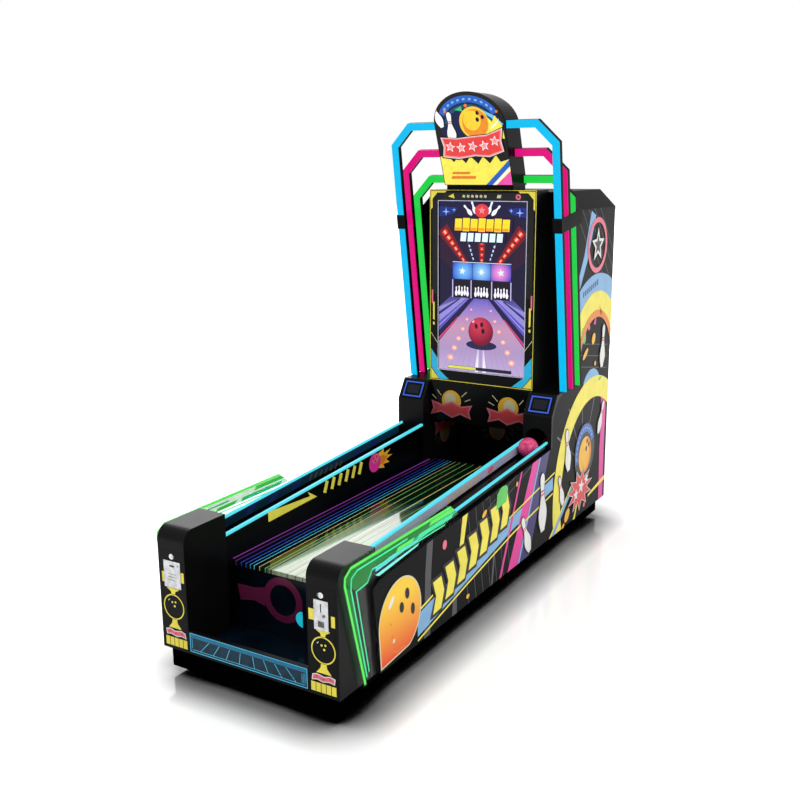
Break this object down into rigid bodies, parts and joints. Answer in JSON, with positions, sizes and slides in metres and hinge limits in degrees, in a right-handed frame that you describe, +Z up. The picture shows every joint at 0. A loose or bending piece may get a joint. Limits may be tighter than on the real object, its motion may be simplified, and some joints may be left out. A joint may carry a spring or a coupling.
{
  "type": "bowling arcade machine",
  "caption": "Coin-operated mini bowling machine: front towers, a lane between ball troughs, a rear cabinet with portrait screen, leaning neon arches and a domed marquee",
  "frame": {"origin": "middle of the bounding box at floor level", "axes": "+Z up; the player stands at -Y and faces +Y; +X is the coin side"},
  "size_m": [0.9846, 2.855, 2.4878],
  "materials": {
    "casing": "charcoal textured laminate on board",
    "door_black": "black powder coat",
    "housing_black": "black paint on board",
    "arch_black": "black anodised",
    "strap_grey": "dark grey powder coat",
    "steel": "brushed",
    "chrome": "polished",
    "base_steel": "black paint",
    "black_moulding": "moulded",
    "red_button": "glossy",
    "navy_gloss": "high gloss",
    "lane_gloss": "printed high-gloss laminate on board",
    "wall_gloss": "black gloss laminate on board",
    "ball_resin": "polished resin",
    "blue_lens": "lit edge",
    "display": "lit screen",
    "lift_grey": "moulded",
    "side_print": "printed film on board",
    "blue_print": "printed film on board",
    "header_print": "printed film on board",
    "marquee_print": "lit printed panel",
    "trough_light": "lit diffuser",
    "cyan_neon": "lit diffuser",
    "magenta_neon": "lit diffuser",
    "green_neon": "lit diffuser",
    "lit_acrylic": "clear, edge lit",
    "rubber": "moulded"
  },
  "bodies": {
    "machine": {"base_frame": "base_steel", "coin_box": "steel", "cyan_arch_channel": "arch_black", "cyan_arch_light": "cyan_neon", "display": "display", "green_arch_channel": "arch_black", "green_arch_light": "green_neon", "kick_panel": "blue_print", "lane_bed": "lane_gloss", "left_inner_strip": "trough_light", "left_outer_strip": "trough_light", "left_rail": "wall_gloss", "left_shoulder": "casing", "left_shoulder_lens": "blue_lens", "left_side_board": "side_print", "left_strap": "strap_grey", "left_tower_shell": "casing", "left_wing": "lit_acrylic", "lift_stand": "steel", "magenta_arch_channel": "arch_black", "magenta_arch_light": "magenta_neon", "mains_inlet": "black_moulding", "marquee_box": "casing", "marquee_face": "marquee_print", "mouth_header": "header_print", "pit_chute": "wall_gloss", "rear_cabinet": "casing", "recess_liner": "navy_gloss", "right_inner_strip": "trough_light", "right_outer_strip": "trough_light", "right_rail": "wall_gloss", "right_shoulder": "casing", "right_shoulder_lens": "blue_lens", "right_side_board": "side_print", "right_strap": "strap_grey", "right_tower_shell": "casing", "right_wing": "lit_acrylic", "screen_housing": "housing_black"},
    "left_door": {"left_tower_door": "door_black", "ticket_plate": "steel"},
    "right_door": {"right_tower_door": "door_black", "coin_acceptor": "steel"},
    "left_lock": {"left_door_lock": "chrome"},
    "right_lock": {"right_door_lock": "chrome"},
    "return_button": {"coin_return_button": "red_button"},
    "service_door": {"rear_door": "door_black"},
    "service_lock": {"rear_door_lock": "chrome"},
    "ball": {"ball": "ball_resin"},
    "lift_wheel": {"lift_wheel": "lift_grey"},
    "drive_roller": {"drive_roller": "rubber"},
    "fork_left": {"castor_fork_front_left": "steel"},
    "fork_right": {"castor_fork_front_right": "steel"},
    "wheel_front_left": {"castor_wheel_front_left": "rubber"},
    "wheel_front_right": {"castor_wheel_front_right": "rubber"},
    "wheel_rear_left": {"castor_wheel_rear_left": "rubber"},
    "wheel_rear_right": {"castor_wheel_rear_right": "rubber"},
    "foot_front_left": {"levelling_foot_front_left": "steel"},
    "foot_front_right": {"levelling_foot_front_right": "steel"},
    "foot_rear_left": {"levelling_foot_rear_left": "steel"},
    "foot_rear_right": {"levelling_foot_rear_right": "steel"}
  },
  "joints": [
    {"name": "left_door_swing", "type": "hinge", "parent": "machine", "child": "left_door", "pos_m": [-0.445, -1.41975, 0.3555], "axis": [0, 0, -1], "range_deg": [0, 110]},
    {"name": "right_door_swing", "type": "hinge", "parent": "machine", "child": "right_door", "pos_m": [0.445, -1.41975, 0.3555], "axis": [0, 0, 1], "range_deg": [0, 110]},
    {"name": "left_lock_turn", "type": "hinge", "parent": "left_door", "child": "left_lock", "pos_m": [-0.3815, -1.41975, 0.55], "axis": [0, -1, 0], "range_deg": [0, 90]},
    {"name": "right_lock_turn", "type": "hinge", "parent": "right_door", "child": "right_lock", "pos_m": [0.3815, -1.41975, 0.55], "axis": [0, 1, 0], "range_deg": [0, 90]},
    {"name": "return_button_push", "type": "slide", "parent": "right_door", "child": "return_button", "axis": [0, 1, 0], "range_m": [0, 0.003], "stiffness_N_per_m": 150, "springref_m": -0.002},
    {"name": "service_door_swing", "type": "hinge", "parent": "machine", "child": "service_door", "pos_m": [0.369, 1.42425, 1.005], "axis": [0, 0, -1], "range_deg": [0, 110]},
    {"name": "service_lock_turn", "type": "hinge", "parent": "service_door", "child": "service_lock", "pos_m": [-0.339, 1.42425, 1.005], "axis": [0, 1, 0], "range_deg": [0, 90]},
    {"name": "ball_roll", "type": "slide", "parent": "machine", "child": "ball", "axis": [0, 0.9982, 0.0599], "range_m": [-1.54, 0.03]},
    {"name": "lift_turn", "type": "hinge", "parent": "machine", "child": "lift_wheel", "pos_m": [0.336, 0.91025, 0.5], "axis": [1, 0, 0], "continuous": true},
    {"name": "roller_turn", "type": "hinge", "parent": "machine", "child": "drive_roller", "pos_m": [0.336, 1.10555, 0.5], "axis": [1, 0, 0], "continuous": true},
    {"name": "front_left_swivel", "type": "hinge", "parent": "machine", "child": "fork_left", "pos_m": [-0.372, -1.17975, 0.0767], "axis": [0, 0, 1], "continuous": true},
    {"name": "front_left_wheel_roll", "type": "hinge", "parent": "fork_left", "child": "wheel_front_left", "pos_m": [-0.372, -1.16875, 0.024], "axis": [1, 0, 0], "continuous": true},
    {"name": "rear_left_wheel_roll", "type": "hinge", "parent": "machine", "child": "wheel_rear_left", "pos_m": [-0.372, 1.19525, 0.024], "axis": [1, 0, 0], "continuous": true},
    {"name": "front_left_foot_turn", "type": "hinge", "parent": "machine", "child": "foot_front_left", "pos_m": [-0.372, -1.29975, 0.04], "axis": [0, 0, 1], "continuous": true},
    {"name": "rear_left_foot_turn", "type": "hinge", "parent": "machine", "child": "foot_rear_left", "pos_m": [-0.372, 1.30425, 0.04], "axis": [0, 0, 1], "continuous": true},
    {"name": "front_right_swivel", "type": "hinge", "parent": "machine", "child": "fork_right", "pos_m": [0.372, -1.17975, 0.0767], "axis": [0, 0, 1], "continuous": true},
    {"name": "front_right_wheel_roll", "type": "hinge", "parent": "fork_right", "child": "wheel_front_right", "pos_m": [0.372, -1.16875, 0.024], "axis": [1, 0, 0], "continuous": true},
    {"name": "rear_right_wheel_roll", "type": "hinge", "parent": "machine", "child": "wheel_rear_right", "pos_m": [0.372, 1.19525, 0.024], "axis": [1, 0, 0], "continuous": true},
    {"name": "front_right_foot_turn", "type": "hinge", "parent": "machine", "child": "foot_front_right", "pos_m": [0.372, -1.29975, 0.04], "axis": [0, 0, 1], "continuous": true},
    {"name": "rear_right_foot_turn", "type": "hinge", "parent": "machine", "child": "foot_rear_right", "pos_m": [0.372, 1.30425, 0.04], "axis": [0, 0, 1], "continuous": true}
  ],
  "couplings": [
    {"joint": "roller_turn", "follows": "lift_turn", "ratio": -6.8}
  ]
}
